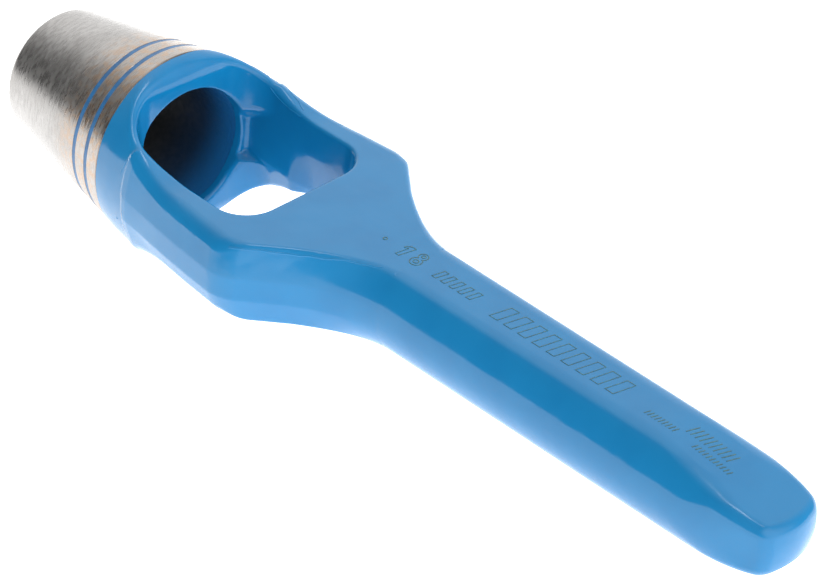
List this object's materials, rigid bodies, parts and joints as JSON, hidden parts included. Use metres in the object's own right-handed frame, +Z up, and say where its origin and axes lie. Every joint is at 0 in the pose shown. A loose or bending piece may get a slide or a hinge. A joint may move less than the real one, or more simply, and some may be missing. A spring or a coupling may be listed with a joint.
{
  "type": "drive hole punch",
  "caption": "Forged arch punch with a ground conical cutting head, an open eye behind the bore and a flat-sided enamelled shank that is struck with a mallet",
  "frame": {"origin": "middle of the bounding box in plan, at the height of the bench the tool lies on", "axes": "+X along the tool from the cutting edge to the struck end, +Y across the arch, +Z up; the tool's own axis dips 4.77 degrees towards +X because it rests on its collar and on the end of its shank"},
  "size_m": [0.137, 0.0354, 0.0287],
  "materials": {
    "ground_steel": "ground, satin",
    "blue_enamel": "gloss",
    "groove_paint": "satin"
  },
  "bodies": {
    "root": {"steel_forging": "ground_steel", "enamel_coat": "blue_enamel", "groove_paint_front": "groove_paint", "groove_paint_rear": "groove_paint"}
  },
  "joints": []
}
